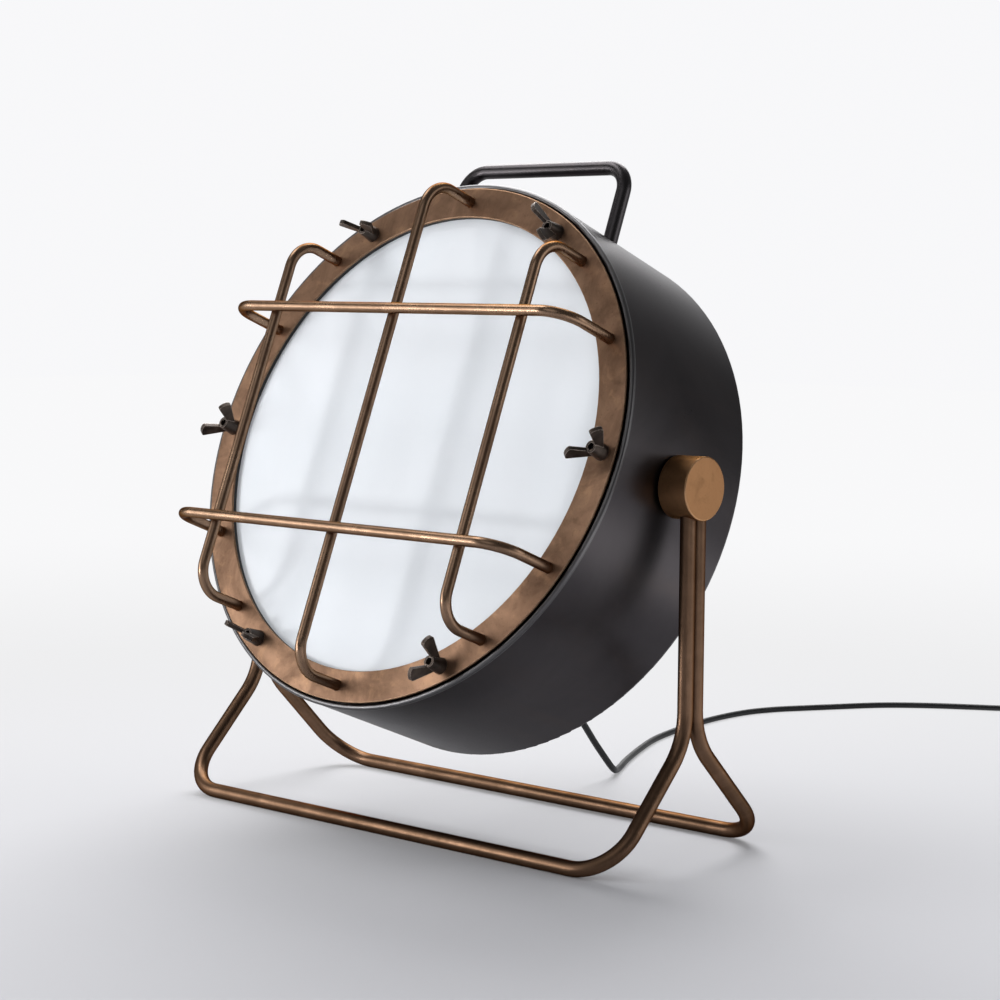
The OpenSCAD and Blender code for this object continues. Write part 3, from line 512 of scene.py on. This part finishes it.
# Finishes: their colours first
CHARCOAL_DARK, CHARCOAL_LIGHT = (0.056, 0.051, 0.054), (0.076, 0.070, 0.073)
CHARCOAL_STREAK = (0.084, 0.069, 0.065)
CHARCOAL_RUBBED = (0.36, 0.35, 0.34)
# The front lip's lighter grey: partly a polished lip, partly a painted highlight
CHARCOAL_LIP_HIGHLIGHT = (0.145, 0.142, 0.145)
CHARCOAL_EDGE = (0.65, 0.65, 0.65)
LIP_HIGHLIGHT_FROM = 76.8
LIP_HIGHLIGHT_BLUR = 0.0006
BRONZE_RUBBED = (0.640, 0.450, 0.290)
CAST_DARK, CAST_LIGHT = (0.045, 0.036, 0.031), (0.095, 0.073, 0.060)
CAST_RUBBED = (0.52, 0.44, 0.38)
OPAL_LOW, OPAL_HIGH = (0.855, 0.895, 0.935), (0.880, 0.915, 0.955)
STEEL_DARK, STEEL_LIGHT = (0.46, 0.46, 0.45), (0.63, 0.62, 0.60)
STEEL_RUBBED = (0.78, 0.77, 0.75)
TUBE_EDGE = (0.2, 0.17, 0.14)


def charcoal(name, lip=None):
    """Burnished dark metal: cloudy, faintly streaked, with edges rubbed to a lighter grey, and, given lip, a
    lighter grey in front of that distance along the head's front, which is partly a polished lip and partly a
    painted highlight.
    """
    g = Finish(name)
    cloud = g.noise(5.0, detail=6.0, roughness=0.6, distortion=0.6)
    streak = g.noise(1.0, detail=5.0, roughness=0.6, at=g.stretched((60, 9, 9)))
    grain = g.noise(900.0, detail=2.0)
    worn, rounded = g.edges(0.0012)
    tone = g.blend(g.span(cloud, 0.3, 0.72), CHARCOAL_DARK, CHARCOAL_LIGHT)
    tone = g.blend(g.span(streak, 0.45, 0.8, 0.0, 0.35), tone, CHARCOAL_STREAK)
    tone = g.blend(g.times(worn, g.span(grain, 0.3, 0.6)), tone, CHARCOAL_RUBBED)
    # Painted highlight: the drum's front lip turns lighter grey, partly a polished lip and partly light
    # painted over its shaded half
    if lip:
        out = g.along(head_way(0, 0, 1))
        tone = g.blend(g.span(out, lip - LIP_HIGHLIGHT_BLUR, lip + LIP_HIGHLIGHT_BLUR, 0.0, 0.85), tone, CHARCOAL_LIP_HIGHLIGHT)
    return g.dress(
        Base_Color=tone,
        Metallic=1.0,
        Roughness=g.plus(g.span(cloud, 0.25, 0.75, 0.28, 0.35), g.span(grain, 0.2, 0.8, -0.02, 0.04)),
        Specular_Tint=(*CHARCOAL_EDGE, 1),
        Normal=g.bump(grain, strength=0.06, depth=0.0003, normal=rounded),
    )


def bronze(name, dark, light, glint, rough, edge, bump=0.10, mottle=1.0):
    """Aged bronze: brown patina in clouds and flecks, brighter where it is rubbed."""
    g = Finish(name)
    cloud = g.noise(16.0, detail=6.0, roughness=0.62, distortion=1.2)
    patch = g.noise(55.0, detail=5.0, roughness=0.6, distortion=0.5)
    fleck = g.noise(420.0, detail=3.0, roughness=0.6)
    brush = g.noise(1.0, detail=4.0, roughness=0.6, at=g.stretched((700, 700, 45)))
    worn, rounded = g.edges(0.0010)
    tone = g.blend(g.span(cloud, 0.28, 0.72), dark, light)
    tone = g.blend(g.span(patch, 0.50, 0.78, 0.0, 0.55 * mottle), tone, glint)
    tone = g.blend(g.span(patch, 0.48, 0.24, 0.0, 0.50 * mottle), tone, [0.6 * c for c in dark])
    tone = g.blend(g.span(fleck, 0.58, 0.74, 0.0, 0.35 * mottle), tone, [0.5 * c for c in dark])
    tone = g.blend(g.times(worn, g.span(fleck, 0.25, 0.55)), tone, BRONZE_RUBBED)
    sheen = g.span(cloud, 0.25, 0.75, rough + 0.05, rough - 0.04)
    lift = g.plus(brush, g.times(fleck, 0.7))
    return g.dress(
        Base_Color=tone,
        Metallic=1.0,
        Roughness=g.plus(sheen, g.span(brush, 0.2, 0.8, -0.04, 0.06)),
        Specular_Tint=(*edge, 1),
        Normal=g.bump(lift, strength=bump, depth=0.0003, normal=rounded),
    )


def dark_bronze():
    """Dark cast bronze of the wing nuts and studs, with bright rubbed edges."""
    g = Finish("dark_bronze")
    cloud = g.noise(90.0, detail=5.0, roughness=0.6)
    cast = g.noise(520.0, detail=4.0, roughness=0.65)
    worn, rounded = g.edges(0.0011)
    tone = g.blend(g.span(cloud, 0.3, 0.7), CAST_DARK, CAST_LIGHT)
    tone = g.blend(g.times(worn, g.span(cast, 0.28, 0.58)), tone, CAST_RUBBED)
    return g.dress(
        Base_Color=tone,
        Metallic=0.9,
        Roughness=g.span(cloud, 0.2, 0.8, 0.36, 0.52),
        Normal=g.bump(cast, strength=0.22, depth=0.0004, normal=rounded),
    )


def opal():
    """Opal glass: milky, very faintly clouded, with a soft gloss."""
    g = Finish("opal")
    cloud = g.noise(7.0, detail=4.0, roughness=0.5, distortion=0.8)
    ripple = g.noise(38.0, detail=3.0, roughness=0.5)
    return g.dress(
        Base_Color=g.blend(g.span(cloud, 0.3, 0.7), OPAL_LOW, OPAL_HIGH),
        Roughness=g.span(ripple, 0.2, 0.8, 0.42, 0.50),
        IOR=1.5,
        Specular_IOR_Level=0.35,
        Normal=g.bump(ripple, strength=0.03, depth=0.0006),
    )


def rubber(name, dark, light, rough, grain_scale, shine=0.5):
    """Black rubber or moulded plastic, with a fine skin and a little dust."""
    g = Finish(name)
    dust = g.noise(45.0, detail=5.0, roughness=0.6)
    skin = g.noise(grain_scale, detail=3.0, roughness=0.6)
    return g.dress(
        Base_Color=g.blend(g.span(dust, 0.35, 0.75), dark, light),
        Roughness=g.span(dust, 0.25, 0.75, rough - 0.05, rough + 0.07),
        Specular_IOR_Level=shine,
        Normal=g.bump(skin, strength=0.12, depth=0.0003),
    )


def steel():
    """Zinc-plated steel with a spangle and fine turning marks."""
    g = Finish("steel")
    spangle = g.noise(130.0, detail=4.0, roughness=0.6)
    fine = g.noise(1100.0, detail=2.0)
    worn, rounded = g.edges(0.0006)
    tone = g.blend(g.span(spangle, 0.3, 0.7), STEEL_DARK, STEEL_LIGHT)
    return g.dress(
        Base_Color=g.blend(worn, tone, STEEL_RUBBED),
        Metallic=1.0,
        Roughness=g.span(spangle, 0.2, 0.8, 0.26, 0.40),
        Normal=g.bump(fine, strength=0.08, depth=0.0002, normal=rounded),
    )


def glazed(name, low, high, rough, grain_scale):
    """Enamel, ceramic, pale bulb glass or lead insulation: a smooth skin with a faint orange peel."""
    g = Finish(name)
    cloud = g.noise(28.0, detail=4.0, roughness=0.55)
    peel = g.noise(grain_scale, detail=2.0)
    return g.dress(
        Base_Color=g.blend(g.span(cloud, 0.3, 0.7), low, high),
        Roughness=g.span(cloud, 0.2, 0.8, rough, rough + 0.1),
        Normal=g.bump(peel, strength=0.06, depth=0.0003),
    )


finishes = {
    "charcoal": charcoal("charcoal"),
    "bronze": bronze(
        "bronze", dark=(0.172, 0.102, 0.066), light=(0.318, 0.191, 0.122), glint=(0.480, 0.285, 0.165),
        rough=0.42, edge=(0.55, 0.47, 0.42)),
    "dark_bronze": dark_bronze(),
    "opal": opal(),
    "gasket_rubber": rubber("gasket_rubber", (0.012, 0.012, 0.012), (0.030, 0.030, 0.031), 0.62, 700.0),
    "steel": steel(),
    "white_enamel": glazed("white_enamel", (0.80, 0.79, 0.75), (0.86, 0.85, 0.82), 0.22, 220.0),
    "ceramic": glazed("ceramic", (0.76, 0.74, 0.68), (0.84, 0.82, 0.77), 0.18, 160.0),
    "bulb_glass": glazed("bulb_glass", (0.82, 0.81, 0.77), (0.88, 0.87, 0.84), 0.10, 60.0),
    "black_plastic": rubber("black_plastic", (0.014, 0.014, 0.015), (0.034, 0.034, 0.036), 0.44, 900.0),
    "cord_rubber": rubber("cord_rubber", (0.005, 0.005, 0.006), (0.013, 0.013, 0.014), 0.46, 800.0, 0.3),
    "lead_insulation": glazed("lead_insulation", (0.20, 0.075, 0.030), (0.27, 0.11, 0.05), 0.40, 500.0),
}

# Nodes whose look differs from their slot's, by the start of their names. The drum's front lip gets a painted
# highlight. The hubs' bronze is lighter and the stand tubes' darker than the ring's, and the guard rods'
# lighter than the stand tubes': partly their own patina, partly painted light and shade.
own_finishes = {
    "drum_shell": charcoal("charcoal_drum", head_point(0, 0, LIP_HIGHLIGHT_FROM).dot(head_way(0, 0, 1)) * MM),
    "guard_rod": bronze(
        "bronze_guard", dark=(0.205, 0.131, 0.086), light=(0.300, 0.193, 0.128), glint=(0.420, 0.275, 0.184),
        rough=0.29, edge=TUBE_EDGE, bump=0.03, mottle=0.4),
    "stand_": bronze(
        "bronze_tube", dark=(0.125, 0.074, 0.046), light=(0.192, 0.115, 0.073), glint=(0.275, 0.168, 0.108),
        rough=0.37, edge=TUBE_EDGE, bump=0.03, mottle=0.5),
    "pivot_hub": bronze(
        "bronze_hub", dark=(0.385, 0.203, 0.099), light=(0.420, 0.222, 0.108), glint=(0.455, 0.242, 0.118),
        rough=0.36, edge=(0.35, 0.28, 0.22), bump=0.05),
}

node_slot = {row["node"]: row["material_slot"] for row in frame["record"]["subparts"]}
for name, piece in nodes.items():
    own = [made for start, made in own_finishes.items() if name.startswith(start)]
    piece.data.materials.clear()
    piece.data.materials.append(own[0] if own else finishes[node_slot[name]])
for piece in (cord, sleeve, plug):
    piece.data.materials.append(finishes["cord_rubber"])
for piece in (tie, tie_end):
    piece.data.materials.append(finishes["black_plastic"])

# Studio: a pale floor that runs into a white background, and soft light, most of it from above and behind
FLOOR_HALF = 9.0
FLOOR_COLOUR = (0.52, 0.52, 0.545, 1)
FLOOR_ROUGHNESS = 0.9
BACK_WAY = Vector((-0.685, 0.729, 0))
RIGHT_WAY = Vector((0.8, 0.6, 0))
WHITE = 0.95

# The floor fades into a plain glow, far off where it is seen, and behind the lamp where it is mirrored. A
# brighter glowing band to the right and a glowing patch to the left show only where the floor is mirrored.
# They are painted reflections that put a sheen on the drum and highlights on the rods and legs.
FLOOR_CENTRE = 0.10 * RIGHT_WAY - 0.48 * BACK_WAY
FLOOR_GLOW = (0.99, 0.99, 1.0, 1)
SEEN_FADE = (0.05, 1.75)
GLOW_FADE = (0.35, 3.35, 0.815, WHITE)
BEHIND_FADE = (-0.3, 1.4)
RIGHT_RISE = (0.40, 0.62)
RIGHT_FALL = (1.3, 0.9)
RIGHT_SHEEN_GLOW = 0.8
LEFT_HIGHLIGHT_PATCH = Vector((-0.50, -0.65, 0))
LEFT_FADE = (0.65, 0.30, 0.0, 0.8)

# The world is white behind the lamp and dim in front of it where metal and glass mirror it
WORLD_SHOWN = (0.985, 0.985, 1.0, 1)
WORLD_LIGHT = (0.97, 0.98, 1.0, 1)
WORLD_STRENGTH = 0.43
BACK_RISE = (0.62, 0.97)
FRONT_RISE = (-0.35, 0.35, 0.09, 0.21)


def make_floor():
    h = FLOOR_HALF
    floor = add_mesh("floor", [(-h, -h, 0), (h, -h, 0), (h, h, 0), (-h, h, 0)], [(0, 1, 2, 3)], smooth=False)
    g = Finish("floor")
    floor.data.materials.append(g.dress(Base_Color=FLOOR_COLOUR, Roughness=FLOOR_ROUGHNESS))
    path = g.node("ShaderNodeLightPath").outputs
    far, right = g.away(FLOOR_CENTRE), g.along(RIGHT_WAY)
    seen = g.most(path["Is Camera Ray"], path["Is Transmission Ray"])
    seen = g.times(seen, g.span(far, *SEEN_FADE))
    mirrored = g.times(path["Is Glossy Ray"], g.span(g.along(BACK_WAY), *BEHIND_FADE))
    # Painted reflection: a glowing band to the right, seen only in reflections, puts a sheen on the drum
    right_reflected_glow = g.times(g.span(right, *RIGHT_RISE), g.span(right, *RIGHT_FALL))
    right_reflected_glow = g.times(right_reflected_glow, path["Is Glossy Ray"])
    # Painted reflection: a glowing patch to the left, seen only in reflections, brightens the highlights on
    # the rods and legs
    left_reflected_glow = g.times(path["Is Glossy Ray"], g.span(g.away(LEFT_HIGHLIGHT_PATCH), *LEFT_FADE))
    share = g.most(g.most(mirrored, right_reflected_glow), g.most(left_reflected_glow, seen))
    strength = g.plus(g.span(far, *GLOW_FADE), g.times(right_reflected_glow, RIGHT_SHEEN_GLOW))
    glow = g.fill(g.node("ShaderNodeEmission"), Color=FLOOR_GLOW, Strength=strength)
    g.put(g.out.inputs["Surface"], g.mixed(share, g.shader.outputs[0], glow.outputs[0]))


def make_world():
    world = bpy.data.worlds.new("studio")
    world.use_nodes = True
    g = Nodes(world.node_tree, "Generated")
    path = g.node("ShaderNodeLightPath").outputs
    back = g.along(BACK_WAY)
    level = g.span(back, *BACK_RISE, g.span(back, *FRONT_RISE, curve="LINEAR"), WHITE)
    pale = g.span(path["Is Camera Ray"], 0, 1, level, WHITE, curve="LINEAR")
    shown = g.fill(g.node("ShaderNodeBackground"), Color=WORLD_SHOWN, Strength=pale)
    light = g.fill(g.node("ShaderNodeBackground"), Color=WORLD_LIGHT, Strength=WORLD_STRENGTH)
    seen = g.most(path["Is Camera Ray"], path["Is Glossy Ray"])
    seen = g.most(seen, path["Is Transmission Ray"])
    out = g.node("ShaderNodeOutputWorld")
    g.put(out.inputs["Surface"], g.mixed(seen, light.outputs[0], shown.outputs[0]))
    scene.world = world


# Each light's name, place, aim, width and height, and power
LAMP_MIDDLE = (0, 0, 0.32)
AIM_HIGH = (0, -0.05, 0.48)
AIM_MIDDLE = (0, -0.05, 0.40)
AIM_LOW = (0, -0.05, 0.34)
LIGHTS = [
    ("back_light", (-1.12, 1.44, 2.05), LAMP_MIDDLE, (1.8, 1.8), 76),
    ("left_top_light", (-1.13, -0.25, 2.42), LAMP_MIDDLE, (1.1, 1.1), 20),
    ("rod_light", (-1.17, -1.75, 1.31), AIM_HIGH, (0.25, 0.45), 1.0),
    ("right_light", (2.05, 1.18, 0.74), LAMP_MIDDLE, (1.2, 1.2), 7),
    ("left_light", (-1.50, -1.42, 0.60), AIM_HIGH, (0.85, 1.0), 4.5),
    ("upper_left_light", (-1.74, -1.42, 1.18), AIM_HIGH, (0.6, 0.55), 2.4),
    ("strip_light", (-1.47, -1.60, 0.47), AIM_MIDDLE, (0.9, 0.34), 6),
    ("low_light", (-1.09, -1.68, 0.11), AIM_LOW, (0.36, 0.18), 7),
    ("front_light", (0.6, -2.2, 1.75), LAMP_MIDDLE, (1.6, 1.6), 6),
]


def add_light(name, at, aim, size, power):
    data = bpy.data.lights.new(name, "AREA")
    data.shape = "RECTANGLE"
    data.size, data.size_y = size
    data.energy = power
    light = bpy.data.objects.new(name, data)
    light.location = at
    light.rotation_mode = "QUATERNION"
    light.rotation_quaternion = (Vector(aim) - Vector(at)).to_track_quat("-Z", "Y")
    light.visible_camera = False
    scene.collection.objects.link(light)


make_floor()
make_world()
for row in LIGHTS:
    add_light(*row)

scene.view_settings.view_transform = "Standard"
